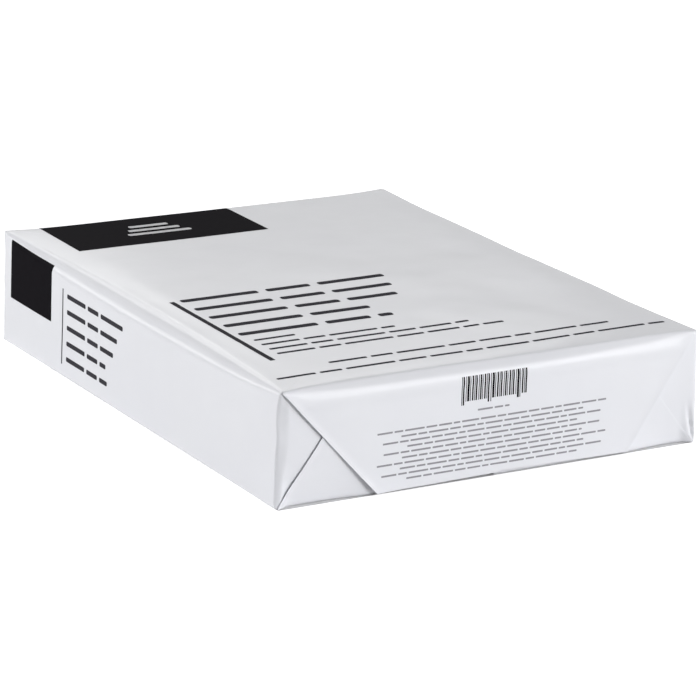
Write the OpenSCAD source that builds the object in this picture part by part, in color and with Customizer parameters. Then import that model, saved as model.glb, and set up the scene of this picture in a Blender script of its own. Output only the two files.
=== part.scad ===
// Sealed ream of A4 copier paper, in millimetres.
// A stack of sheets lies in one sheet of glued wrapping paper. The wrapper runs round
// the long sides, laps under the stack, and closes each end with an envelope fold:
// the side tucks go in first, the foot flap folds up and the top flap folds down over it.
// X runs across the sheets, Y along them and Z up. The pack rests on its lap, at Z = 0.

/* [Paper stack] */
// Width of one sheet
sheet_w = 210; // [190:1:300]
// Length of one sheet
sheet_l = 297; // [250:1:430]
// Sheets in the stack
sheets = 500; // [350:10:650]
// Thickness of one sheet
sheet_t = 0.104; // [0.09:0.002:0.13]

/* [Wrapper] */
// Thickness of the wrapping paper
wrap_t = 0.15; // [0.1:0.01:0.3]
// Room between the stack and the wrapper at each long side
side_room = 0.85; // [0:0.05:2]
// Room between the stack and the side tucks at each end
end_room = 0.05; // [0:0.05:1]
// Room between the stack and the wrapper on top
top_room = 0.5; // [0:0.05:1.5]

/* [Soft edges] */
// Radius where the wrapper is drawn tight over a corner of the stack
corner_r = 0.8; // [0.4:0.1:1.5]
// Radius midway along the left top edge, where the wrapper is loosest
left_top_r = 9; // [3:0.5:12]
// Radius midway along the right top edge
right_top_r = 2; // [1:0.25:6]
// Radius midway along the bottom long edges
long_foot_r = 1.5; // [1:0.25:4]
// Radius midway along the top edge of the near end
near_top_r = 5; // [2:0.5:8]
// Radius midway along the top edge of the far end
far_top_r = 3; // [1:0.5:6]
// Radius midway along the bottom edge of each end
end_foot_r = 1.25; // [1:0.25:4]
// Radius of the four upright edges
upright_r = 1; // [0.5:0.25:4]

/* [Envelope folds] */
// How far each flap stands proud of the layer under it, folded double
flap_t = 0.5; // [0.2:0.05:0.8]
// Lean of the top flap's left fold from upright
top_lean_left = 42.5; // [25:0.5:50]
// Lean of the top flap's right fold from upright
top_lean_right = 34.5; // [25:0.5:50]
// Lean of the foot flap's left fold from upright
foot_lean_left = 34.5; // [25:0.5:50]
// Lean of the foot flap's right fold from upright
foot_lean_right = 37.5; // [25:0.5:50]
// Height of the foot flap, most of it under the top flap
foot_flap_h = 40; // [32:1:44]
// Height of the top flap's free edge above the bottom
free_edge_z = 0.8; // [0.5:0.1:4]
// Distance of each fold's start from the corner of the pack
fold_inset = 0.6; // [0.2:0.1:3]

/* [Lap under the pack] */
// Place of the lap's free edge, from the middle of the pack
lap_x = 2; // [-30:1:30]
// Step down at the lap's free edge
lap_step = 0.6; // [0.3:0.1:1]
// Width over which the under layer comes back down to the floor
lap_ramp = 34; // [15:1:60]

/* [Print] */
// Thickness of the ink
ink_t = 0.05; // [0.03:0.01:0.1]
// Width of the dark field on top
head_w = 102; // [60:1:140]
// Length of the dark field on top
head_l = 46; // [20:1:60]
// Distance of the dark field on top from the left side
head_in = 18; // [12:1:30]
// Distance of the dark field on top from the far end
head_end = 6; // [6:1:20]
// Width of the rule on top
rule_w = 2.4; // [1:0.1:4]
// Length of the rule on top
rule_l = 103; // [60:1:125]
// Distance of the rule on top from the left side
rule_in = 18; // [13:0.5:40]
// Distance of the rule on top from the far end
rule_end = 151; // [80:1:160]
// Length of the dark field on the left side
tag_l = 48; // [30:1:60]
// Distance of the dark field on the left side from the far end
tag_end = 11; // [6:1:20]
// Height of the dark field's lower edge on the left side
tag_foot = 22.5; // [12:0.5:24]
// Width of the rule on the left side
side_rule_w = 1; // [0.5:0.1:3]
// Distance of the rule on the left side from the far end
side_rule_end = 71; // [66:1:90]
// Height of the lower end of the rule on the left side
side_rule_foot = 6; // [5:0.5:20]

/* [Hidden] */
pack_w = sheet_w + 2 * (side_room + wrap_t);
tuck_l = sheet_l + 2 * (end_room + wrap_t);
foot_l = tuck_l + 2 * flap_t;
pack_l = foot_l + 2 * flap_t;
pack_h = sheets * sheet_t + 2 * wrap_t + top_room;
// Margin by which a cutter or a slab passes the face that it meets
over = 1;
// Margin of the cutters at the ends, another one so that no two cutters share a plane
end_over = 1.6;
// Flat facets across a soft edge, and rings along it
arc_steps = 6;
ring_steps = 6;
// How soon an edge softens away from its corners: lower is sooner
soften_power = 0.5;
// Depth of the slice of a flap layer that is laid on each end
flap_slice = 2 * flap_t + max(near_top_r, far_top_r) + over;

// Radius of a soft edge at s, from 0 at one corner to 1 at the other
function soft_radius(s, mid_r) =
    corner_r + (mid_r - corner_r) * pow(max(0, sin(180 * s)), soften_power);

// Section of an edge cutter at x: the rounded inner side, then three corners outside the pack
function cutter_ring(x, r, margin) = concat(
    [for (k = [0 : arc_steps]) let (a = 90 * k / arc_steps) [x, r * sin(a) - r, r * cos(a) - r]],
    [[x, margin, -r], [x, margin, margin], [x, -r, margin]]
);

// Rounds an edge that lies on the X axis from 0 to run, with the pack towards -Y and -Z
module edge_cutter(run, mid_r, margin) {
    ring = arc_steps + 4;
    // The rings crowd towards the corners, where the radius changes fastest
    inner = [for (i = [0 : ring_steps]) let (s = (1 - cos(180 * i / ring_steps)) / 2)
        cutter_ring(run * s, soft_radius(s, mid_r), margin)];
    rings = concat(
        [cutter_ring(-margin, corner_r, margin)],
        inner,
        [cutter_ring(run + margin, corner_r, margin)]
    );
    last = len(rings) - 1;
    polyhedron(
        points = [for (r = rings) each r],
        faces = concat(
            [[for (j = [0 : ring - 1]) j]],
            [[for (j = [ring - 1 : -1 : 0]) last * ring + j]],
            [for (i = [0 : last - 1], j = [0 : ring - 1])
                let (a = i * ring + j, b = i * ring + (j + 1) % ring)
                each [[a, a + ring, b], [b, a + ring, b + ring]]]
        )
    );
}

// Plan of the pack with its four upright edges rounded
module plan(l) {
    square([pack_w - 2 * upright_r, l], center = true);
    square([pack_w, l - 2 * upright_r], center = true);
    for (x = [-1, 1], y = [-1, 1])
        translate([x * (pack_w / 2 - upright_r), y * (l / 2 - upright_r)])
            circle(r = upright_r, $fn = 48);
}

// The pack at length l before its edges are softened
module square_block(l) {
    linear_extrude(pack_h) plan(l);
}

// Softens the top and bottom edges of what it is given, at the end of a block of length l
module soften_end(l, far, top_r) {
    difference() {
        children();
        mirror([0, 1 - far, 0]) translate([-pack_w / 2, l / 2, 0]) {
            translate([0, 0, pack_h]) edge_cutter(pack_w, top_r, end_over);
            mirror([0, 0, 1]) edge_cutter(pack_w, end_foot_r, end_over);
        }
    }
}

// Softens the top and bottom edges of what it is given, along one long side
module soften_side(right) {
    difference() {
        children();
        mirror([1 - right, 0, 0]) translate([pack_w / 2, pack_l / 2, 0]) rotate([0, 0, -90]) {
            translate([0, 0, pack_h])
                edge_cutter(pack_l, right == 1 ? right_top_r : left_top_r, over);
            mirror([0, 0, 1]) edge_cutter(pack_l, long_foot_r, over);
        }
    }
}

// The wrapped stack with only its side tucks folded in
module tucked_stack() {
    soften_end(tuck_l, 0, near_top_r) soften_end(tuck_l, 1, far_top_r)
        soften_side(0) soften_side(1)
        square_block(tuck_l);
}

// Lays an outline drawn in X and Z as a slab over the near end of a block of length l
module end_slab(l) {
    intersection() {
        square_block(l);
        translate([0, flap_slice - pack_l / 2, 0])
            rotate([90, 0, 0]) linear_extrude(flap_slice + over) children();
    }
}

// The foot flap comes up from the bottom, over the side tucks
module foot_flap(top_r) {
    left = fold_inset - pack_w / 2;
    right = pack_w / 2 - fold_inset;
    soften_end(foot_l, 0, top_r) soften_side(0) soften_side(1) end_slab(foot_l)
        polygon([
            [left, -over], [left, 0],
            [left + foot_flap_h * tan(foot_lean_left), foot_flap_h],
            [right - foot_flap_h * tan(foot_lean_right), foot_flap_h],
            [right, 0], [right, -over]
        ]);
}

// The top flap comes down over everything and stops just above the bottom edge
module top_flap(top_r) {
    left = fold_inset - pack_w / 2;
    right = pack_w / 2 - fold_inset;
    drop = pack_h - free_edge_z;
    soften_end(pack_l, 0, top_r) soften_side(0) soften_side(1) end_slab(pack_l)
        polygon([
            [left, pack_h + over], [left, pack_h],
            [left + drop * tan(top_lean_left), free_edge_z],
            [right - drop * tan(top_lean_right), free_edge_z],
            [right, pack_h], [right, pack_h + over]
        ]);
}

// Wedge of air beside the lap, where the under layer comes out from the upper one
module lap_relief() {
    translate([0, pack_l / 2 + over, 0]) rotate([90, 0, 0])
        linear_extrude(pack_l + 2 * over)
            polygon([[lap_x, -over], [lap_x, lap_step], [lap_x - lap_ramp, 0], [lap_x - lap_ramp, -over]]);
}

module wrapper() {
    color("#f1f2f4") difference() {
        union() {
            tucked_stack();
            for (end = [0, 1]) mirror([0, end, 0]) {
                foot_flap(end == 1 ? far_top_r : near_top_r);
                top_flap(end == 1 ? far_top_r : near_top_r);
            }
        }
        lap_relief();
    }
}

// A printed field of w by l, sunk into the paper by one margin so that it is part of it
module ink(w, l) {
    translate([0, 0, -over]) linear_extrude(over + ink_t) square([w, l]);
}

// Dark fields and rules on the top and on the left side, as a film of ink
module print_fields() {
    color("#141216") {
        translate([head_in - pack_w / 2, pack_l / 2 - head_end - head_l, pack_h]) ink(head_w, head_l);
        translate([rule_in - pack_w / 2, pack_l / 2 - rule_end - rule_l, pack_h]) ink(rule_w, rule_l);
        // On the left side a field runs along Y and down from its upper edge
        translate([-pack_w / 2, pack_l / 2 - tag_end, tag_foot]) rotate([90, 0, -90])
            ink(tag_l, pack_h - left_top_r - tag_foot);
        translate([-pack_w / 2, pack_l / 2 - side_rule_end, side_rule_foot]) rotate([90, 0, -90])
            ink(side_rule_w, pack_h - left_top_r - side_rule_foot);
    }
}

module wrapped_ream() {
    union() {
        wrapper();
        print_fields();
    }
}

wrapped_ream();
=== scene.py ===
"""Sealed ream of copier paper: the looks of the pack, built round its CAD frame."""

import math

import bmesh
import bpy
from bpy.props import FloatProperty, FloatVectorProperty, PointerProperty
from bpy.types import Operator, Panel, PropertyGroup
from mathutils import Matrix, Vector, noise


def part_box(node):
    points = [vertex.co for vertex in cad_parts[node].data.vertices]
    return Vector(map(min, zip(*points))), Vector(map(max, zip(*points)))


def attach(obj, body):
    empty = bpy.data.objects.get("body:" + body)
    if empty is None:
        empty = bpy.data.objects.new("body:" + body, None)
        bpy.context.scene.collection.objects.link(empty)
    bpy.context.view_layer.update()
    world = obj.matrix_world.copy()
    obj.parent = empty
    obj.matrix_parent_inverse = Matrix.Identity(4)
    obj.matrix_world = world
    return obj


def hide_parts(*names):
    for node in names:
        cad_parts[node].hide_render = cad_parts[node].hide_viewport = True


bl_info = {
    "name": "Paper Ream",
    "version": (1, 0, 0),
    "blender": (4, 5, 0),
    "location": "View3D > Sidebar > Ream",
    "description": "Builds a wrapped ream of paper with envelope-folded ends",
    "category": "Add Mesh",
}

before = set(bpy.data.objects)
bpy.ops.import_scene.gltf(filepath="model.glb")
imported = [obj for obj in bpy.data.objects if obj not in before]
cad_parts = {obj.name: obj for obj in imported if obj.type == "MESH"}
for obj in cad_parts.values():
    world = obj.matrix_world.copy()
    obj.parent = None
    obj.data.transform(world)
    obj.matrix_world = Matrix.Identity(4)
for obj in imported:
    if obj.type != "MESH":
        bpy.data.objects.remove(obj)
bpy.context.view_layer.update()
CAD_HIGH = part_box("wrapped_ream")[1]

MM = 0.001
# The frame's box holds a film of ink on top and on the left side
INK = 0.05 * MM
HALF_W = CAD_HIGH.x
HALF_L = CAD_HIGH.y
HEIGHT = CAD_HIGH.z - INK

# Gap that keeps a sheet or a film out of the paper under it
CLEAR = 0.02 * MM
# Step over which an outward direction is measured
PROBE = 0.1 * MM
# How far a flap's sheet runs on past the edge that it turns over
OVERLAP = 13 * MM
# How far the layers under the top flap draw back at the foot of each end, and the rest
FOOT_FALL = 3.4 * MM
TOP_FALL = 0.3 * MM
# How far the lap gapes at both ends of the pack, and over what length
GAPE = 2.0 * MM
GAPE_RUN = 14 * MM


def linear(hex_colour):
    """An sRGB hex colour as linear red, green and blue."""
    channels = [int(hex_colour[i:i + 2], 16) / 255 for i in (1, 3, 5)]
    return [c / 12.92 if c <= 0.04045 else ((c + 0.055) / 1.055) ** 2.4 for c in channels]


def length(name, default, description):
    """A length property in metres."""
    return FloatProperty(
        name=name, default=default, description=description, unit="LENGTH", precision=5)


def angle(name, degrees, description):
    """An angle property, given in degrees."""
    return FloatProperty(
        name=name, default=math.radians(degrees), description=description, unit="ROTATION")


def colour(name, hex_colour, description):
    """A colour property, given as sRGB hex."""
    return FloatVectorProperty(
        name=name, default=linear(hex_colour), description=description,
        subtype="COLOR", min=0, max=1)


class ReamForm(PropertyGroup):
    """Sizes of the wrapped pack and its folds."""

    corner_r: length("Corner radius", 0.8 * MM, "Radius where the paper is tight over a corner")
    left_top_r: length("Left top radius", 9 * MM, "Radius midway along the left top edge")
    right_top_r: length("Right top radius", 2 * MM, "Radius midway along the right top edge")
    long_foot_r: length("Long foot radius", 1.5 * MM, "Radius midway along the bottom long edges")
    near_top_r: length("Near top radius", 5 * MM, "Radius midway along the near end's top edge")
    far_top_r: length("Far top radius", 3 * MM, "Radius midway along the far end's top edge")
    end_foot_r: length("End foot radius", 1.25 * MM, "Radius midway along each end's bottom edge")
    upright_r: length("Upright radius", 1 * MM, "Radius of the upright edges")
    layer: length("Layer step", 0.5 * MM, "Step from one folded layer to the next")
    sheet: length("Flap thickness", 0.2 * MM, "Thickness of a flap")
    fold_inset: length("Fold inset", 0.6 * MM, "Distance of a fold's start from its corner")
    top_lean_left: angle("Top flap left", 42.5, "Lean of the top flap's left fold")
    top_lean_right: angle("Top flap right", 34.5, "Lean of the top flap's right fold")
    foot_lean_left: angle("Foot flap left", 34.5, "Lean of the foot flap's left fold")
    foot_lean_right: angle("Foot flap right", 37.5, "Lean of the foot flap's right fold")
    foot_flap_h: length("Foot flap height", 40 * MM, "Height of the foot flap")
    free_edge: length("Free edge", 1.0 * MM, "Height of the top flap's free edge")
    lap_x: length("Lap edge", 2 * MM, "Place of the lap's free edge")
    lap_step: length("Lap step", 0.6 * MM, "Step down at the lap's free edge")
    lap_ramp: length("Lap ramp", 34 * MM, "Width over which the under layer comes down again")
    side_lean: length("Side lean", 2.2 * MM, "How far the left side leans in at its top")
    far_left_rise: length("Far left rise", 1.6 * MM, "How much higher the far left corner is")
    far_right_fall: length("Far right fall", 1.6 * MM, "How much lower the far right corner is")


class ReamPrint(PropertyGroup):
    """Places and sizes of the printed fields and bars."""

    head_w: length("Header width", 102 * MM, "Width of the dark field on top")
    head_in: length("Header inset", 18 * MM, "Distance of the dark field from the left side")
    head_foot: length("Header foot", 98.5 * MM, "Place of the dark field's near edge")
    head_wrap: length("Header wrap", 9 * MM, "How far the dark field runs down the far end")
    rule_w: length("Rule width", 2.4 * MM, "Width of the rule on top")
    rule_l: length("Rule length", 103 * MM, "Length of the rule on top")
    rule_in: length("Rule inset", 18 * MM, "Distance of the rule from the left side")
    rule_far: length("Rule start", -1.3 * MM, "Place of the rule's far end")
    tag_l: length("Tag length", 48 * MM, "Length of the dark field on the left side")
    tag_end: length("Tag inset", 11 * MM, "Distance of the side's dark field from the far end")
    tag_foot: length("Tag foot", 22.9 * MM, "Height of the side's dark field's lower edge")
    tag_top: length("Tag top", 51.5 * MM, "Height of the side's dark field's upper edge")
    side_rule_w: length("Side rule width", 1 * MM, "Width of the rule on the side")
    side_rule_y: length("Side rule place", 78 * MM, "Place of the rule on the side")


class ReamFinish(PropertyGroup):
    """Colours of the paper and the inks."""

    paper: colour("Paper", "#e9eaee", "Coated wrapping paper")
    shade: colour("Paper shade", "#e3e4ea", "Faint cooler clouds in the paper")
    black: colour("Black ink", "#131115", "Dark offset ink")
    dark_grey: colour("Dark grey ink", "#3c3b40", "Ink of the rules and the larger bars")
    grey: colour("Grey ink", "#8e8d92", "Ink of the fine bars")
    white: colour("White ink", "#dcdcde", "Ink of the marks on the dark fields")
    floor: colour("Floor", "#dedede", "Pale studio floor")


class ReamStage(PropertyGroup):
    """Camera and light."""

    azimuth: angle("Azimuth", -27.8176, "Camera's azimuth")
    elevation: angle("Elevation", 16.4347, "Camera's elevation")
    roll: angle("Roll", 0.0959, "Camera's roll")
    distance: length("Distance", 1927.84 * MM, "Distance from the camera to its target")
    lens: FloatProperty(name="Lens", default=214.12, description="Focal length in millimetres")
    ambient: FloatProperty(name="Ambient", default=0.08, description="Strength of the room's light")


def smooth(t):
    """Eases from 0 to 1 as t does."""
    t = min(max(t, 0.0), 1.0)
    return t * t * (3 - 2 * t)


def between(value, start, end):
    """Eases from 0 at start to 1 at end."""
    return smooth((value - start) / (end - start))


def fade(distance, reach, power=1):
    """Falls from 1 at no distance to 0 at the reach."""
    return max(0.0, 1 - distance / reach) ** power


def hump(distance, width):
    """1 at no distance, falling off smoothly on both sides."""
    return math.exp(-(distance / width) ** 2)


def crowd(share, size, band, band_share):
    """Place on a line of a size, with the first and last share of the steps crowded in a band."""
    if share < band_share:
        return band * share / band_share
    if share > 1 - band_share:
        return size - band * (1 - share) / band_share
    middle = (share - band_share) / (1 - 2 * band_share)
    return band + (size - 2 * band) * middle


def round_edge(a, b, r):
    """Depths below the two planes of an edge, moved onto an edge rounded by r."""
    if a >= r or b >= r:
        return a, b
    u, v = 1 - a / r, 1 - b / r
    reach = max(u, v)
    turn = math.pi / 4 * min(u, v) / max(reach, 1e-9)
    near, far = reach * math.sin(turn), reach * math.cos(turn)
    if u > v:
        near, far = far, near
    return r * (1 - near), r * (1 - far)


class Wrapper:
    """Where the paper lies: a square block with soft edges and gentle waves.

    A pair of places tells where something sets in, and where it is whole.
    """

    # Length and height of the waves
    WAVES = ((50 * MM, 0.24 * MM), (19 * MM, 0.07 * MM))
    # The waves are drawn from this seed, so that every build has the same ones
    WAVE_SEED = 2
    # Width of the band along an edge in which a face's waves and falls come in
    WAVE_BAND = 7 * MM
    # Distance from a corner at which the paper is no longer drawn tight
    TIGHT_CORNER = 26 * MM
    # The top has a share of the waves, and more where the wrapper is loosest, right and near
    TOP_SHARE = 0.5
    LOOSE_SHARE = 1.7
    LOOSE_X = (-40 * MM, 30 * MM)
    LOOSE_Y = (90 * MM, 0.0)
    # The floor holds the bottom nearly flat
    BOTTOM_SHARE = 0.2

    # Depth and width of the top's sag along each edge
    LEFT_SAG = (0.75 * MM, 25 * MM)
    RIGHT_SAG = (0.80 * MM, 20 * MM)
    NEAR_SAG = (0.80 * MM, 9 * MM)
    FAR_SAG = (0.45 * MM, 15 * MM)
    # How much wider the near sag is at the right corner than at the left
    NEAR_WIDENS = 12 * MM
    # Distance from a corner over which a sag along a side or an end comes in
    SIDE_SAG_RUN = 45 * MM
    END_SAG_RUN = 40 * MM
    # Groove in the top along the left sag, on its near half
    GROOVE = 0.12 * MM
    GROOVE_IN = 13 * MM
    GROOVE_WIDTH = 4.5 * MM
    GROOVE_Y = (60 * MM, 0.0)

    # Set-back of the left upright edges, half as deep where the foot flap's fold holds them
    SET_BACK = 2.1 * MM
    SET_BACK_TOP = (HEIGHT, HEIGHT - 11 * MM)
    SET_BACK_FOOT = (-2 * MM, 3 * MM)
    FOLD_AT = 31 * MM
    FOLD_HEIGHT = 5 * MM
    FOLD_HOLDS = 0.5
    # Share of the set-back that the end's face takes over, and how far across
    FACE_SHARE = 0.3
    FACE_REACH = 34 * MM
    # Height and curve of the fall towards the foot, and what the top flap holds up of it
    FOOT_HEIGHT = 26 * MM
    FOOT_CURVE = 1.6
    FOOT_RUN = 8 * MM
    FLAP_HOLDS = 0.7
    HELD_LEFT = (-80 * MM, -56 * MM)
    HELD_RIGHT = (92 * MM, 68 * MM)

    # Each end bulges: above this height it leans back, ever more up to a limit
    BULGE_AT = 44 * MM
    LEAN = 1.3 * MM
    LEAN_RUN = 6.5 * MM
    LEAN_LIMIT = 1.2
    # A little below the bulge it draws in
    DIP = 0.3 * MM
    DIP_TOP = (45.5 * MM, 41 * MM)
    DIP_FOOT = (0.0, 34 * MM)
    BULGE_RUN = 16 * MM

    # Width of the lap's gape, and the height in which its lift fades
    GAPE_WIDTH = 4 * MM
    LAP_FADE = 6 * MM

    def __init__(self, form, foot_fall=TOP_FALL):
        noise.seed_set(self.WAVE_SEED)
        self.form = form
        self.foot_fall = foot_fall

    def edge_radius(self, share, middle):
        """Radius of a soft edge at a share of its length, crisp at both corners."""
        swell = math.sqrt(max(0.0, math.sin(math.pi * min(max(share, 0.0), 1.0))))
        return self.form.corner_r + (middle - self.form.corner_r) * swell

    def soften(self, point, half_l):
        """A point of the square block of that half length, on the block with soft edges."""
        x, y, z = point
        form = self.form
        is_top = z > HEIGHT / 2
        long_r, end_r = form.long_foot_r, form.end_foot_r
        if is_top:
            long_r = form.left_top_r if x < 0 else form.right_top_r
            end_r = form.near_top_r if y < 0 else form.far_top_r
        along = (y / HALF_L + 1) / 2
        across = (x / HALF_W + 1) / 2
        dx, dy = HALF_W - abs(x), half_l - abs(y)
        dz = HEIGHT - z if is_top else z
        dx, dz = round_edge(dx, dz, self.edge_radius(along, long_r))
        dy, dz = round_edge(dy, dz, self.edge_radius(across, end_r))
        dx, dy = round_edge(dx, dy, form.upright_r)
        return Vector((
            math.copysign(HALF_W - dx, x),
            math.copysign(half_l - dy, y),
            HEIGHT - dz if is_top else dz,
        ))

    def droop(self, p):
        """How far the top falls away towards its edges."""
        left, right = HALF_W + p.x, HALF_W - p.x
        near, far = HALF_L + p.y, HALF_L - p.y
        ends = smooth(min(near, far) / self.SIDE_SAG_RUN)
        sides = smooth(min(left, right) / self.END_SAG_RUN)
        near_depth, near_width = self.NEAR_SAG
        near_width += self.NEAR_WIDENS * left / (2 * HALF_W)
        sags = (
            (left, *self.LEFT_SAG, ends),
            (right, *self.RIGHT_SAG, ends),
            (near, near_depth, near_width, sides),
            (far, *self.FAR_SAG, sides),
        )
        fall = sum(depth * fade(place, width, 2) * share for place, depth, width, share in sags)
        groove = self.GROOVE * hump(left - self.GROOVE_IN, self.GROOVE_WIDTH)
        return fall + groove * between(p.y, *self.GROOVE_Y) * ends

    def set_back(self, z):
        """How far the left upright edges are set back, where the folds under them are loose."""
        back = self.SET_BACK * between(z, *self.SET_BACK_TOP) * between(z, *self.SET_BACK_FOOT)
        return back * (1 - self.FOLD_HOLDS * hump(z - self.FOLD_AT, self.FOLD_HEIGHT))

    def end_fall(self, p):
        """How far an end falls back towards its loose left corner and its foot."""
        left, right = HALF_W + p.x, HALF_W - p.x
        fall = self.FACE_SHARE * self.set_back(p.z) * fade(left, self.FACE_REACH, 2)
        held = between(p.x, *self.HELD_LEFT) * between(p.x, *self.HELD_RIGHT)
        foot = self.foot_fall * (1 - self.FLAP_HOLDS * held)
        foot *= fade(p.z, self.FOOT_HEIGHT, self.FOOT_CURVE)
        return fall + foot * smooth(min(left, right) / self.FOOT_RUN)

    def wave(self, p):
        """Moves a soft block's point as the real paper's waves do."""
        corner = math.sqrt(
            (HALF_W - abs(p.x)) ** 2 + (HALF_L - abs(p.y)) ** 2
            + min(p.z, HEIGHT - p.z) ** 2)
        slack = 1 - hump(corner, self.TIGHT_CORNER)
        move = Vector((0, 0, 0))
        for size, height in self.WAVES:
            move += noise.noise_vector(p / size) * height
        loose = between(p.x, *self.LOOSE_X) * between(p.y, *self.LOOSE_Y)
        move.z *= self.TOP_SHARE + self.LOOSE_SHARE * loose
        band = self.WAVE_BAND
        wx = smooth((abs(p.x) - HALF_W + band) / band)
        wy = smooth((abs(p.y) - HALF_L + band) / band)
        wz = smooth((abs(p.z - HEIGHT / 2) - HEIGHT / 2 + band) / band)
        out = Vector((move.x * wx, move.y * wy, move.z * wz)) * slack
        if p.z > HEIGHT / 2:
            out.z -= self.droop(p) * wz
        else:
            out.z = self.BOTTOM_SHARE * abs(out.z)
        above = min(max((p.z - self.BULGE_AT) / self.LEAN_RUN, 0.0), self.LEAN_LIMIT)
        lean = self.LEAN * above ** 2
        dip = self.DIP * between(p.z, *self.DIP_TOP) * between(p.z, *self.DIP_FOOT)
        back = (lean + dip) * smooth((HALF_W - abs(p.x)) / self.BULGE_RUN)
        out.y -= math.copysign(back + self.end_fall(p), p.y) * wy
        return p + out

    def lap(self, p, wedge):
        """Lifts the under layer beside the lap's free edge, on the bottom of the pack."""
        form = self.form
        beside = form.lap_x - p.x
        rise = 0.0
        if beside > 0:
            rise = form.lap_step * fade(beside, form.lap_ramp)
            rise += wedge * fade(beside, self.GAPE_WIDTH)
        return Vector((p.x, p.y, p.z + rise * fade(p.z, self.LAP_FADE)))

    def settle(self, p):
        """Leans and twists the pack a little, as a stack of loose sheets does."""
        form = self.form
        up, left, far = p.z / HEIGHT, (1 - p.x / HALF_W) / 2, (1 + p.y / HALF_L) / 2
        rise = form.far_left_rise * left - form.far_right_fall * (1 - left)
        return p + Vector((form.side_lean * up * left, 0, rise * up * far))

    def on_paper(self, point, half_l, wedge=0.0):
        """A point of the square block, on the finished paper."""
        return self.settle(self.lap(self.wave(self.soften(point, half_l)), wedge))


def run_over(x, s, half_l):
    """Block point of a place on the strip that runs up the near end, over the top and down."""
    if s < 0:
        return x, -half_l - s, 0.0
    if s <= HEIGHT:
        return x, -half_l, s
    if s <= HEIGHT + 2 * half_l:
        return x, s - HEIGHT - half_l, HEIGHT
    return x, half_l, 2 * HEIGHT + 2 * half_l - s


def run_round(g, y, half_l):
    """Block point of a place on the strip that runs up the left side and over the top."""
    if g <= HEIGHT:
        return -HALF_W, y, g
    return g - HEIGHT - HALF_W, y, HEIGHT


def add_node(tree, kind, settings=None, **sockets):
    """Adds a node with its settings, and sets or links its sockets."""
    node = tree.nodes.new(kind)
    for key, value in (settings or {}).items():
        setattr(node, key, value)
    for key, value in sockets.items():
        socket = node.inputs[int(key[1:])] if key[0] == "i" and key[1:].isdigit() \
            else node.inputs[key.replace("_", " ")]
        if isinstance(value, bpy.types.NodeSocket):
            tree.links.new(value, socket)
        else:
            socket.default_value = value
    return node


def new_material(name):
    """An empty node material."""
    material = bpy.data.materials.new(name)
    material.use_nodes = True
    material.node_tree.nodes.clear()
    return material, material.node_tree


def rgba(channels):
    """Colour for a shader socket."""
    return (*channels[:3], 1.0)


def wrapping_paper(finish):
    """Machine-coated wrapping paper: white with a faint cool tint, a soft sheen and fine crinkles."""
    material, tree = new_material("coated_wrapping_paper")
    place = add_node(tree, "ShaderNodeTexCoord").outputs["Object"]
    clouds = add_node(tree, "ShaderNodeTexNoise", Vector=place, Scale=1 / (45 * MM), Detail=3.0)
    # Paper fibre is 0.05 mm wide, too fine to show, and is drawn as 0.9 mm grain
    fibre = add_node(tree, "ShaderNodeTexNoise", Vector=place, Scale=1 / (0.9 * MM), Detail=2.0)
    crinkle = add_node(tree, "ShaderNodeTexNoise", Vector=place, Scale=1 / (14 * MM), Detail=4.0)
    tint = add_node(
        tree, "ShaderNodeMix", {"data_type": "RGBA"},
        Factor=clouds.outputs["Fac"], i6=rgba(finish.paper), i7=rgba(finish.shade))
    sheen = add_node(
        tree, "ShaderNodeMapRange", Value=crinkle.outputs["Fac"], To_Min=0.15, To_Max=0.25)
    creases = add_node(
        tree, "ShaderNodeBump", Height=crinkle.outputs["Fac"], Strength=0.5, Distance=0.12 * MM)
    grain = add_node(
        tree, "ShaderNodeBump", Height=fibre.outputs["Fac"], Strength=0.25,
        Distance=0.012 * MM, Normal=creases.outputs["Normal"])
    shader = add_node(
        tree, "ShaderNodeBsdfPrincipled", Base_Color=tint.outputs[2],
        Roughness=sheen.outputs["Result"], Normal=grain.outputs["Normal"], IOR=1.5)
    add_node(tree, "ShaderNodeOutputMaterial", Surface=shader.outputs["BSDF"])
    return material


def offset_ink(name, tone):
    """Offset ink on coated paper: dense and dull, with a thin sheen left where light grazes it."""
    material, tree = new_material(name)
    place = add_node(tree, "ShaderNodeTexCoord").outputs["Object"]
    mottle = add_node(tree, "ShaderNodeTexNoise", Vector=place, Scale=1 / (3 * MM), Detail=3.0)
    lighter = [min(1.0, c * 1.25 + 0.002) for c in tone]
    mixed = add_node(
        tree, "ShaderNodeMix", {"data_type": "RGBA"},
        Factor=mottle.outputs["Fac"], i6=rgba(tone), i7=rgba(lighter))
    rough = add_node(
        tree, "ShaderNodeMapRange", Value=mottle.outputs["Fac"], To_Min=0.32, To_Max=0.42)
    bump = add_node(
        tree, "ShaderNodeBump", Height=mottle.outputs["Fac"], Strength=0.2, Distance=0.01 * MM)
    shader = add_node(
        tree, "ShaderNodeBsdfPrincipled", Base_Color=mixed.outputs[2],
        Roughness=rough.outputs["Result"], Normal=bump.outputs["Normal"],
        Specular_IOR_Level=0.0, Coat_Weight=0.04, Coat_Roughness=0.35)
    add_node(tree, "ShaderNodeOutputMaterial", Surface=shader.outputs["BSDF"])
    return material


def shared(name, make, *values):
    """The material of that name, made on its first use."""
    return bpy.data.materials.get(name) or make(*values)


def paper():
    """The wrapper's paper."""
    return shared("coated_wrapping_paper", wrapping_paper, bpy.context.scene.ream_finish)


def ink(kind):
    """One of the inks."""
    finish = bpy.context.scene.ream_finish
    name = "offset_ink_" + kind
    return shared(name, offset_ink, name, list(getattr(finish, kind)))


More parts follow.
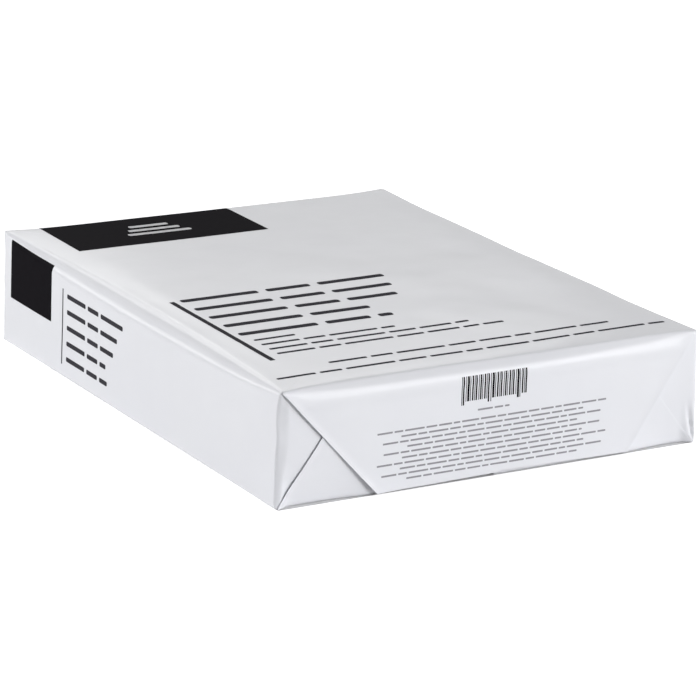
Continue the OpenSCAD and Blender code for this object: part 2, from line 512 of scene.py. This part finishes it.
def finish_piece(bm, name, material, sharp=50):
    """Makes a bmesh a piece of the pack: smooth, with its turned edges sharp."""
    bmesh.ops.recalc_face_normals(bm, faces=bm.faces)
    mesh = bpy.data.meshes.new(name)
    bm.to_mesh(mesh)
    bm.free()
    mesh.shade_smooth()
    mesh.set_sharp_from_angle(angle=math.radians(sharp))
    mesh.materials.append(material)
    piece = bpy.data.objects.new(name, mesh)
    bpy.context.scene.collection.objects.link(piece)
    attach(piece, "root")
    return piece


def edges_along(bm, axis):
    """Edges of a box mesh that run along an axis."""
    found = []
    for edge in bm.edges:
        run = edge.verts[1].co - edge.verts[0].co
        if abs(run[axis]) > 0.999 * run.length:
            found.append(edge)
    return found


def cut_box(bm, cuts):
    """Cuts a box mesh into a grid, with that many cuts along each axis."""
    for axis, count in enumerate(cuts):
        if count:
            bmesh.ops.subdivide_edges(
                bm, edges=edges_along(bm, axis), cuts=count, use_grid_fill=True)


def cut_at(bm, axis, place):
    """Cuts a mesh right through, at a place on an axis."""
    across = Vector((0, 0, 0))
    across[axis] = 1
    bmesh.ops.bisect_plane(
        bm, geom=bm.verts[:] + bm.edges[:] + bm.faces[:],
        plane_co=across * place, plane_no=across)


# Distance between the two cuts that make the lap's free edge a step
LAP_CUT = 0.02 * MM


def cut_lap(bm, form):
    """Makes two close cuts at the lap's free edge."""
    for place in (form.lap_x, form.lap_x - LAP_CUT):
        cut_at(bm, 0, place)


class TuckHollow:
    """The paper at the upright edges, where the side tucks turn in loosely."""

    # Depth from the end within which the paper gives way
    DEPTH = 9 * MM
    # Width of the left edge's hollow at its foot, and how much wider it is above
    WIDTH = 2.4 * MM
    WIDENS = 2.2 * MM
    WIDENS_Z = (8 * MM, 30 * MM)
    SET_BACK_SHARE = 0.8
    # The right edge is tight above, with a dog-ear crease beside it at its foot
    CREASE = 1.1 * MM
    CREASE_IN = 0.9 * MM
    CREASE_SLOPE = 0.17
    CREASE_WIDTH = 0.9 * MM
    CREASE_TOP = (22 * MM, 10 * MM)
    CREASE_FOOT = (0.0, 2 * MM)
    # The far end's folds are tighter than the near end's
    FAR_SHARE = 0.6

    def __init__(self, wrapper, half_l):
        self.wrapper = wrapper
        self.half_l = half_l

    def move(self, p):
        """A point of the paper, drawn back into the hollow."""
        depth = self.half_l - abs(p.y)
        if depth > self.DEPTH:
            return p
        beside = max(0.0, HALF_W - abs(p.x))
        if p.x < 0:
            width = self.WIDTH + self.WIDENS * between(p.z, *self.WIDENS_Z)
            back = self.SET_BACK_SHARE * self.wrapper.set_back(p.z) * fade(beside, width)
        else:
            crease = beside - self.CREASE_IN - self.CREASE_SLOPE * p.z
            back = self.CREASE * hump(crease, self.CREASE_WIDTH)
            back *= between(p.z, *self.CREASE_TOP) * between(p.z, *self.CREASE_FOOT)
        back *= between(depth, self.DEPTH, 0.0) * (self.FAR_SHARE if p.y > 0 else 1.0)
        return Vector((p.x, p.y - math.copysign(back, p.y), p.z))


class REAM_OT_body(Operator):
    """Build the wrapped stack with its side tucks folded in"""

    bl_idname = "ream.body"
    bl_label = "Wrapper Body"

    # Cuts along each axis, with a share of them crowded in a band at each end of X and Y
    CUTS = (92, 120, 46)
    BAND = 12 * MM
    BAND_SHARE = 0.15

    def execute(self, context):
        form = context.scene.ream_form
        half_l = HALF_L - 2 * form.layer
        bm = bmesh.new()
        bmesh.ops.create_cube(bm, size=1.0)
        bmesh.ops.translate(bm, vec=(0.5, 0.5, 0.5), verts=bm.verts)
        cut_box(bm, self.CUTS)
        for vert in bm.verts:
            share = vert.co
            vert.co = (
                crowd(share.x, 2 * HALF_W, self.BAND, self.BAND_SHARE) - HALF_W,
                crowd(share.y, 2 * half_l, self.BAND, self.BAND_SHARE) - half_l,
                share.z * HEIGHT,
            )
        cut_lap(bm, form)
        wrapper = Wrapper(form, FOOT_FALL)
        hollow = TuckHollow(wrapper, half_l)
        for vert in bm.verts:
            soft = hollow.move(wrapper.wave(wrapper.soften(vert.co, half_l)))
            gape = GAPE * between(half_l - abs(soft.y), GAPE_RUN, 0.0)
            vert.co = wrapper.settle(wrapper.lap(soft, gape))
        body = finish_piece(bm, "wrapper_body", paper())
        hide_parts("wrapped_ream")
        return {"FINISHED"}


class Flap:
    """A folded flap: where its sheet lies between its two folds, on the strip over the end."""

    # Cuts crowd towards the folds, and towards the start and the end of the sheet's run
    FOLD_BAND = 5 * MM
    FOLD_SHARE = 0.08
    RUN_BAND = 6 * MM
    RUN_SHARE = 0.12
    # The start is looked up with its own crowding, as shares of the width
    START_BAND = 0.02
    START_SHARE = 0.06
    # The sheet turns in beside a fold, by a share of its thickness
    TURN = 0.25 * MM
    TURN_SHARE = 0.45

    def __init__(self, wrapper, far, level, folds, lift, wedge=0.0):
        self.wrapper = wrapper
        self.far = far
        self.half_l = level
        self.left, self.right = folds
        self.lift = lift
        self.wedge = wedge

    def at(self, x, s):
        """Point of the flap's outer face."""
        bx, by, bz = run_over(x, s, self.half_l)
        if self.far:
            by = -by
        p = self.wrapper.on_paper((bx, by, bz), self.half_l, self.wedge)
        p.y += math.copysign(self.lift(x, s), p.y)
        return p

    def normal(self, x, s):
        """Outward direction of the flap at a place."""
        across = self.at(x + PROBE, s) - self.at(x - PROBE, s)
        along = self.at(x, s + PROBE) - self.at(x, s - PROBE)
        out = across.cross(along).normalized()
        return -out if self.far else out

    def build(self, name, start, end, steps):
        """Makes the flap's sheet. Its run starts at start, for a share of its width."""
        bm = bmesh.new()
        bmesh.ops.create_grid(bm, x_segments=steps[0], y_segments=steps[1], size=0.5)
        bmesh.ops.translate(bm, vec=(0.5, 0.5, 0), verts=bm.verts)
        for vert in bm.verts:
            first = start(crowd(vert.co.x, 1.0, self.START_BAND, self.START_SHARE))
            s = first + crowd(vert.co.y, end - first, self.RUN_BAND, self.RUN_SHARE)
            a, b = self.left(s), self.right(s)
            vert.co = a + crowd(vert.co.x, b - a, self.FOLD_BAND, self.FOLD_SHARE), s, 0
        cut_lap(bm, self.wrapper.form)
        sheet = self.wrapper.form.sheet
        bmesh.ops.solidify(bm, geom=bm.faces[:], thickness=sheet)
        low = min(v.co.z for v in bm.verts)
        for vert in bm.verts:
            x, s, depth = vert.co
            outer = depth - low > sheet / 2
            turn = fade(min(x - self.left(s), self.right(s) - x), self.TURN)
            w = -self.TURN_SHARE * sheet * turn * turn if outer else -sheet
            vert.co = self.at(x, s) + self.normal(x, s) * (w + CLEAR)
        piece = finish_piece(bm, name, paper())


def fold_line(corner_s, lean, form, side):
    """Edge of a flap: it leaves its corner at a lean, and runs in from there past the edge."""
    def edge(s):
        run = abs(s - corner_s)
        on_end = (s < corner_s) if corner_s > 0 else (s > corner_s)
        inward = run * (math.tan(lean) if on_end else 1.0)
        return side * (HALF_W - form.fold_inset - inward)
    return edge


# Width in which a flap stands off along its fold, and the run over which that comes in
LIFT_WIDTH = 5 * MM
LIFT_RUN = 8 * MM


def fold_lift(beside, height):
    """How far a flap stands off along a fold, at a distance from it."""
    return height * fade(beside, LIFT_WIDTH, 2)


# The foot flap stands off along its left fold, and less so higher up
FOOT_LIFT = 0.8 * MM
FOOT_LIFT_LOSS = 0.012


def foot_flap(form, far):
    """Where a foot flap lies."""
    left = fold_line(0, form.foot_lean_left, form, -1)
    right = fold_line(0, form.foot_lean_right, form, 1)

    def lift(x, s):
        height = FOOT_LIFT - FOOT_LIFT_LOSS * max(s, 0.0)
        return fold_lift(x - left(s), height * smooth(s / LIFT_RUN))
    wrapper = Wrapper(form, FOOT_FALL)
    return Flap(wrapper, far, HALF_L - form.layer, (left, right), lift, GAPE)


# The top flap stands off along both folds, and more so at the near end's loose left corner
LEFT_LIFT = 0.5 * MM
RIGHT_LIFT = 0.35 * MM
CORNER_LIFT = 0.9 * MM
CORNER_X = -60 * MM
CORNER_WIDTH = 12 * MM
CORNER_RUN = 12 * MM


def top_flap(form, far):
    """Where a top flap lies."""
    left = fold_line(HEIGHT, form.top_lean_left, form, -1)
    right = fold_line(HEIGHT, form.top_lean_right, form, 1)

    def lift(x, s):
        folds = fold_lift(x - left(s), LEFT_LIFT) + fold_lift(right(s) - x, RIGHT_LIFT)
        folds *= smooth((HEIGHT - s) / LIFT_RUN)
        if far:
            return folds
        along = hump(x - CORNER_X, CORNER_WIDTH)
        return folds + CORNER_LIFT * along * between(s, CORNER_RUN, 0.0)
    return Flap(Wrapper(form), far, HALF_L, (left, right), lift)


# Right of the lap a top flap's free edge runs higher, and comes down again to the corner
LAP_SHARE = 0.46
FREE_EDGE_LOW = 0.9
FREE_EDGE_MORE = 1.4


def free_edge(form, share):
    """Height of a top flap's free edge, at a share of its width."""
    beside = between(share, LAP_SHARE, LAP_SHARE + 0.03) * (1 - share) / (1 - LAP_SHARE)
    return form.free_edge * (FREE_EDGE_LOW + FREE_EDGE_MORE * beside)


class REAM_OT_foot_flaps(Operator):
    """Fold the bottom flap up over each end"""

    bl_idname = "ream.foot_flaps"
    bl_label = "Foot Flaps"

    STEPS = (90, 44)

    def execute(self, context):
        form = context.scene.ream_form
        for name, far in (("near_foot_flap", False), ("far_foot_flap", True)):
            foot_flap(form, far).build(
                name, lambda share: -OVERLAP, form.foot_flap_h, self.STEPS)
        return {"FINISHED"}


class REAM_OT_top_flaps(Operator):
    """Fold the top flap down over each end"""

    bl_idname = "ream.top_flaps"
    bl_label = "Top Flaps"

    STEPS = (96, 64)

    def execute(self, context):
        form = context.scene.ream_form
        for name, far in (("near_top_flap", False), ("far_top_flap", True)):
            top_flap(form, far).build(
                name, lambda share: free_edge(form, share), HEIGHT + OVERLAP, self.STEPS)
        return {"FINISHED"}


class Print:
    """Ink on the paper: thin films that follow the surface under them."""

    STEP = 3 * MM
    # Across a rounded edge the films need closer cuts to stay on the paper
    FINE = 0.8 * MM
    # A bar's ends are rounded by a share of its height
    ROUND = 0.3
    # A word's length is counted in units of this many heights
    UNIT = 1.35
    RHYTHM = (7, 4, 9, 5, 6, 3, 8)
    # Lengths of a mark's three bars, as shares of its width
    MARK_BARS = (0.62, 0.81, 1.0)

    def __init__(self, place, out):
        self.bm = bmesh.new()
        self.place = place
        self.out = out

    def film(self, low, high, steps=(STEP, STEP), ends=0.0, over=0.0):
        """Adds a field of ink between two corners of the strip, lifted over other ink."""
        size = Vector((high[0] - low[0], high[1] - low[1], 2 * INK))
        centre = Vector(((high[0] + low[0]) / 2, (high[1] + low[1]) / 2, 0))
        part = bmesh.new()
        bmesh.ops.create_cube(part, size=1.0)
        bmesh.ops.scale(part, vec=size, verts=part.verts)
        if ends:
            upright = edges_along(part, 2)
            bmesh.ops.bevel(
                part, geom=upright, offset=ends, segments=3, profile=0.5,
                affect="EDGES", material=-1)
        cuts = [max(0, math.ceil(size[i] / steps[i]) - 1) for i in (0, 1)]
        for axis, count in enumerate(cuts):
            for i in range(count):
                cut_at(part, axis, size[axis] * ((i + 1) / (count + 1) - 0.5))
        for vert in part.verts:
            a, b, w = vert.co + centre
            vert.co = self.place(a, b) + self.out(a, b) * (w + over)
        scratch = bpy.data.meshes.new("film")
        part.to_mesh(scratch)
        part.free()
        self.bm.from_mesh(scratch)
        bpy.data.meshes.remove(scratch)

    def words(self, a, b, row, height, gap, flip=False):
        """Adds a line of plain bars from a to b, in the rhythm of words."""
        unit = height * self.UNIT
        at, turn = a, 0
        while at < b - unit:
            run = min(self.RHYTHM[turn % len(self.RHYTHM)] * unit, b - at)
            if b - at - run < 2 * unit:
                run = b - at
            low, high = (at, row), (at + run, row + height)
            if flip:
                low, high = (row, -at - run), (row + height, -at)
            self.film(low, high, ends=height * self.ROUND)
            at += run + gap
            turn += 1

    def three_bars(self, centre, size, flip=False):
        """Adds a mark of three stacked bars, over a dark field."""
        thick = size[1] / 5
        for i, part in enumerate(self.MARK_BARS):
            half, foot = size[0] * part / 2, centre[1] + size[1] / 2 - thick - 2 * i * thick
            low, high = (centre[0] - half, foot), (centre[0] + half, foot + thick)
            if flip:
                low, high = (foot, -centre[0] - half), (foot + thick, -centre[0] + half)
            self.film(low, high, ends=thick * self.ROUND, over=0.6 * INK)

    def finish(self, name, kind):
        """Makes the films one piece."""
        finish_piece(self.bm, name, ink(kind), sharp=40)


def surface_out(place, flipped=False):
    """Outward direction of a surface given by a function of two places."""
    def out(a, b):
        first = place(a + PROBE, b) - place(a - PROBE, b)
        second = place(a, b + PROBE) - place(a, b - PROBE)
        normal = first.cross(second).normalized()
        return -normal if flipped else normal
    return out


def top_strip(form):
    """Places on the strip over the top, given as x and y, which run on down the far end."""
    wrapper = Wrapper(form)

    def place(x, y):
        block = run_over(x, y + HALF_L + HEIGHT, HALF_L)
        p = wrapper.on_paper(block, HALF_L)
        return p + Vector((0, 0, CLEAR))
    return place


def side_strip(form):
    """Places on the strip up the left side, given as the way up and y."""
    wrapper = Wrapper(form)
    half_l = HALF_L - 2 * form.layer

    def place(g, y):
        return wrapper.on_paper(run_round(g, y, half_l), half_l)
    return place


class REAM_OT_top_print(Operator):
    """Print the dark field, the rule and the lines of bars on top"""

    bl_idname = "ream.top_print"
    bl_label = "Top Print"

    MARK_SIZE = (34 * MM, 17 * MM)
    # Distance of the mark from the dark field's near edge
    MARK_IN = 24 * MM
    # Blocks of lines, in millimetres: where their bars start, their first row and the pitch
    # of their rows, the bars' height and gap, and where each line ends
    BLOCKS = (
        (-82.5, -4.2, 15.05, 4.2, 4.5, (23.7, 19.7, 14.6, -8, -4)),
        (-80.5, -74.3, 7.6, 2.0, 2.2, (-60, -13, 21, 35)),
        (-66.5, -119.5, 0, 2.0, 2.2, (77,)),
        (-98, -131, 0, 2.0, 2.2, (99.8,)),
    )

    def execute(self, context):
        form, plan = context.scene.ream_form, context.scene.ream_print
        place = top_strip(form)
        out = surface_out(place)
        field = Print(place, out)
        left = plan.head_in - HALF_W
        field.film(
            (left, plan.head_foot), (left + plan.head_w, HALF_L + plan.head_wrap),
            (Print.STEP, Print.FINE))
        field.finish("header_field", "black")
        mark = Print(place, out)
        mark.three_bars((left + plan.head_w / 2, plan.head_foot + self.MARK_IN), self.MARK_SIZE)
        mark.finish("header_mark", "white")
        rule = Print(place, out)
        left = plan.rule_in - HALF_W
        rule.film((left, plan.rule_far - plan.rule_l), (left + plan.rule_w, plan.rule_far))
        rule.finish("top_rule", "dark_grey")
        bars = Print(place, out)
        for start, row, pitch, height, gap, ends in self.BLOCKS:
            for i, end in enumerate(ends):
                line = (row - pitch * i) * MM
                bars.words(start * MM, end * MM, line, height * MM, gap * MM)
        bars.finish("top_bars", "dark_grey")
        return {"FINISHED"}


class REAM_OT_side_print(Operator):
    """Print the dark tag, the rule and the lines of bars on the left side"""

    bl_idname = "ream.side_print"
    bl_label = "Side Print"

    MARK_SIZE = (15 * MM, 7.5 * MM)
    # Foot and head of the rule
    RULE_SPAN = (6 * MM, 42 * MM)
    # Lines of bars, in millimetres: where they start, the first row's height and the pitch
    # of the rows, the bars' height and gap, and where each line ends
    START = 72.5
    FIRST_ROW = 38.4
    PITCH = 7.5
    BAR = 2.2
    GAP = 2.6
    ROW_ENDS = (10, 16, 20, 28, 26)

    def execute(self, context):
        form, plan = context.scene.ream_form, context.scene.ream_print
        place = side_strip(form)
        out = surface_out(place, flipped=True)
        tag = Print(place, out)
        far = HALF_L - plan.tag_end
        tag.film(
            (plan.tag_foot, far - plan.tag_l), (plan.tag_top, far), (Print.FINE, Print.STEP))
        tag.finish("side_tag", "black")
        mark = Print(place, out)
        middle = (plan.tag_l / 2 - far, (plan.tag_top + plan.tag_foot) / 2)
        mark.three_bars(middle, self.MARK_SIZE, flip=True)
        mark.finish("side_mark", "white")
        bars = Print(place, out)
        rule = plan.side_rule_y
        foot, head = self.RULE_SPAN
        bars.film((foot, rule - plan.side_rule_w), (head, rule))
        for i, end in enumerate(self.ROW_ENDS):
            row = (self.FIRST_ROW - self.PITCH * i) * MM
            bars.words(
                -self.START * MM, -end * MM, row, self.BAR * MM, self.GAP * MM, flip=True)
        bars.finish("side_bars", "dark_grey")
        return {"FINISHED"}


class REAM_OT_end_print(Operator):
    """Print the bar pattern and the fine lines on the near end"""

    bl_idname = "ream.end_print"
    bl_label = "End Print"

    # A plain pattern of upright bars, in a rhythm of its own
    CODE_SPAN = (-16.5 * MM, 16 * MM)
    CODE_TOP = 47.7 * MM
    CODE_FOOT = 36.2 * MM
    LONG_FOOT = 34.6 * MM
    LONG_BARS = (0, 1, 13, 14, 27, 28)
    WIDTHS = (0.35 * MM, 0.7 * MM, 0.35 * MM, 1.0 * MM)
    GAPS = (0.35 * MM, 0.7 * MM, 0.45 * MM)
    # Fine lines of bars: their height and gap, the short first row, and the rows under it
    BAR = 0.8 * MM
    GAP = 0.9 * MM
    SHORT_ROW = 31.2 * MM
    SHORT_HALF = 8 * MM
    ROWS = 10
    FIRST_ROW = 27
    PITCH = 2.42
    # Half of a row's length in millimetres, by how much every other one is shorter, and by
    # how much they differ beside that
    HALF = 56
    SHORTER = 11
    VARIES = 2

    def execute(self, context):
        flap = top_flap(context.scene.ream_form, False)
        code = Print(flap.at, flap.normal)
        x, turn = self.CODE_SPAN[0], 0
        while x < self.CODE_SPAN[1]:
            wide = self.WIDTHS[turn * turn % 4 if turn % 3 else turn * 5 % 4]
            foot = self.LONG_FOOT if turn in self.LONG_BARS else self.CODE_FOOT
            code.film((x, foot), (x + wide, self.CODE_TOP), (Print.STEP, Print.FINE))
            x += wide + self.GAPS[turn * 7 % 3]
            turn += 1
        code.finish("end_code", "black")
        fine = Print(flap.at, flap.normal)
        fine.words(-self.SHORT_HALF, self.SHORT_HALF, self.SHORT_ROW, self.BAR, self.GAP)
        for i in range(self.ROWS):
            half = (self.HALF - self.SHORTER * (i % 2) + self.VARIES * math.cos(i)) * MM
            row = (self.FIRST_ROW - self.PITCH * i) * MM
            fine.words(-half, half, row, self.BAR, self.GAP)
        fine.finish("end_bars", "grey")
        return {"FINISHED"}


# Distance of the lamps from the point that they face, in metres, and that point's height
LAMP_DISTANCE = 2.5
LAMP_AIM = 30 * MM


def add_lamp(name, azimuth, elevation, size, watts, shows):
    """Adds a soft lamp that the camera doesn't see. Its azimuth runs from +Y towards +X."""
    azimuth, elevation = math.radians(azimuth), math.radians(elevation)
    way = Vector((
        math.sin(azimuth) * math.cos(elevation),
        math.cos(azimuth) * math.cos(elevation),
        math.sin(elevation),
    ))
    light = bpy.data.lights.new(name, "AREA")
    light.shape = "RECTANGLE"
    light.size, light.size_y = size
    light.energy = watts
    lamp = bpy.data.objects.new(name, light)
    lamp.location = way * LAMP_DISTANCE + Vector((0, 0, LAMP_AIM))
    lamp.rotation_euler = (-way).to_track_quat("-Z", "Y").to_euler()
    lamp.visible_camera = False
    lamp.visible_glossy = shows
    bpy.context.scene.collection.objects.link(lamp)


def seen_directly(tree):
    """1 for camera, glossy and transmission rays, and 0 for the rest."""
    path = add_node(tree, "ShaderNodeLightPath")
    first = add_node(
        tree, "ShaderNodeMath", {"operation": "MAXIMUM"},
        i0=path.outputs["Is Camera Ray"], i1=path.outputs["Is Glossy Ray"])
    both = add_node(
        tree, "ShaderNodeMath", {"operation": "MAXIMUM"},
        i0=first.outputs[0], i1=path.outputs["Is Transmission Ray"])
    return both.outputs[0]


class REAM_OT_stage(Operator):
    """Set up the floor, the light and the camera"""

    bl_idname = "ream.stage"
    bl_label = "Stage"

    # The camera's target
    TARGET = Vector((-5.607, -26.2347, 26.4)) * MM
    # Half of the floor's side, in metres, and its place just under the pack
    FLOOR_HALF = 4.0
    FLOOR_Z = -0.1 * MM
    # Strength of the floor's glow, which starts a little inside the pack's outline
    GLOW = 0.78
    GLOW_IN = 1 * MM
    # Each lamp's azimuth, elevation, size in metres and watts, and whether the paper's
    # sheen shows the lamp, or only its even light
    LAMPS = (
        ("left_softbox", -75, 15, (1.7, 0.8), 44, False),
        ("left_back_softbox", -30, 14, (0.8, 0.5), 2.6, True),
        ("back_softbox", 0, 25, (2.0, 0.8), 4.0, True),
        ("back_high_softbox", 10, 32, (0.8, 0.5), 2.0, True),
        ("back_right_softbox", 26, 22, (0.65, 0.4), 0.9, True),
        ("right_softbox", 125, 25, (1.0, 1.0), 7, False),
        ("front_right_strip", 151, 27, (0.8, 2.4), 19, True),
        ("front_right_softbox", 153, 14, (0.9, 0.8), 29, False),
    )

    def execute(self, context):
        stage = context.scene.ream_stage
        self.floor(context)
        self.world(context, stage.ambient)
        for lamp in self.LAMPS:
            add_lamp(*lamp)
        self.camera(context, stage)
        context.scene.view_settings.view_transform = "Standard"
        return {"FINISHED"}

    def floor(self, context):
        """A pale floor that shows white where it is lit, and keeps the pack's shadow."""
        bm = bmesh.new()
        bmesh.ops.create_grid(bm, x_segments=8, y_segments=8, size=self.FLOOR_HALF)
        bmesh.ops.translate(bm, vec=(0, 0, self.FLOOR_Z), verts=bm.verts)
        mesh = bpy.data.meshes.new("studio_floor")
        bm.to_mesh(mesh)
        bm.free()
        floor = bpy.data.objects.new("studio_floor", mesh)
        material, tree = new_material("painted_studio_floor")
        seen = seen_directly(tree)
        grain = add_node(tree, "ShaderNodeTexNoise", Scale=60.0, Detail=2.0)
        matt = add_node(tree, "ShaderNodeBump", Height=grain.outputs["Fac"], Strength=0.02)
        diffuse = add_node(
            tree, "ShaderNodeBsdfDiffuse", Color=rgba(context.scene.ream_finish.floor),
            Normal=matt.outputs["Normal"])
        open_floor = self.outside_footprint(tree)
        lift = add_node(
            tree, "ShaderNodeMath", {"operation": "MULTIPLY"}, i0=seen, i1=open_floor)
        glow = add_node(tree, "ShaderNodeEmission", Strength=lift.outputs[0])
        both = add_node(
            tree, "ShaderNodeAddShader", i0=diffuse.outputs[0], i1=glow.outputs[0])
        add_node(tree, "ShaderNodeOutputMaterial", Surface=both.outputs[0])
        mesh.materials.append(material)
        context.scene.collection.objects.link(floor)

    def outside_footprint(self, tree):
        """The floor's glow: none in the gaps under the pack, and even all round it."""
        place = add_node(tree, "ShaderNodeTexCoord").outputs["Object"]
        axes = add_node(tree, "ShaderNodeSeparateXYZ", Vector=place)
        past = []
        for axis, half in (("X", HALF_W), ("Y", HALF_L)):
            size = add_node(
                tree, "ShaderNodeMath", {"operation": "ABSOLUTE"}, i0=axes.outputs[axis])
            past.append(add_node(
                tree, "ShaderNodeMath", {"operation": "GREATER_THAN"},
                i0=size.outputs[0], i1=half - self.GLOW_IN).outputs[0])
        either = add_node(
            tree, "ShaderNodeMath", {"operation": "MAXIMUM"}, i0=past[0], i1=past[1])
        glow = add_node(
            tree, "ShaderNodeMath", {"operation": "MULTIPLY"},
            i0=either.outputs[0], i1=self.GLOW)
        return glow.outputs[0]

    def world(self, context, ambient):
        """White where the camera or a reflection sees it, and an even dim room for the rest."""
        world = bpy.data.worlds.new("studio")
        world.use_nodes = True
        tree = world.node_tree
        tree.nodes.clear()
        strength = add_node(
            tree, "ShaderNodeMapRange", Value=seen_directly(tree), To_Min=ambient, To_Max=1.0)
        shine = add_node(
            tree, "ShaderNodeBackground", Color=(1, 1, 1, 1), Strength=strength.outputs["Result"])
        add_node(tree, "ShaderNodeOutputWorld", Surface=shine.outputs[0])
        context.scene.world = world

    def camera(self, context, stage):
        """The photograph's viewpoint."""
        data = bpy.data.cameras.new("camera")
        data.lens = stage.lens
        data.sensor_width = 36
        data.clip_start, data.clip_end = 0.05, 50
        camera = bpy.data.objects.new("camera", data)
        azimuth, elevation = stage.azimuth, stage.elevation
        back = Vector((
            math.sin(azimuth) * math.cos(elevation),
            -math.cos(azimuth) * math.cos(elevation),
            math.sin(elevation),
        ))
        level = (-back).cross(Vector((0, 0, 1))).normalized()
        upward = level.cross(-back)
        right = level * math.cos(stage.roll) + upward * math.sin(stage.roll)
        turned = Matrix((right, back.cross(right), back)).transposed().to_4x4()
        camera.matrix_world = Matrix.Translation(self.TARGET + back * stage.distance) @ turned
        context.scene.collection.objects.link(camera)
        context.scene.camera = camera


BUILD_ORDER = (
    REAM_OT_body,
    REAM_OT_foot_flaps,
    REAM_OT_top_flaps,
    REAM_OT_top_print,
    REAM_OT_side_print,
    REAM_OT_end_print,
    REAM_OT_stage,
)


class REAM_PT_sidebar(Panel):
    """Lists the ream's pieces and the stage"""

    bl_idname = "REAM_PT_sidebar"
    bl_label = "Paper Ream"
    bl_space_type = "VIEW_3D"
    bl_region_type = "UI"
    bl_category = "Ream"

    def draw(self, context):
        for operator in BUILD_ORDER:
            self.layout.operator(operator.bl_idname)


PROPERTIES = {
    "ream_form": ReamForm,
    "ream_print": ReamPrint,
    "ream_finish": ReamFinish,
    "ream_stage": ReamStage,
}


def register():
    """Registers the add-on's classes and properties."""
    for group in PROPERTIES.values():
        bpy.utils.register_class(group)
    for operator in BUILD_ORDER:
        bpy.utils.register_class(operator)
    bpy.utils.register_class(REAM_PT_sidebar)
    for name, group in PROPERTIES.items():
        setattr(bpy.types.Scene, name, PointerProperty(type=group))


def unregister():
    """Takes the add-on's classes and properties away again."""
    for name in PROPERTIES:
        delattr(bpy.types.Scene, name)
    bpy.utils.unregister_class(REAM_PT_sidebar)
    for operator in reversed(BUILD_ORDER):
        bpy.utils.unregister_class(operator)
    for group in PROPERTIES.values():
        bpy.utils.unregister_class(group)


def main():
    """Builds the ream and its stage."""
    register()
    for operator in BUILD_ORDER:
        group, name = operator.bl_idname.split(".")
        getattr(getattr(bpy.ops, group), name)()


if __name__ == "__main__":
    main()
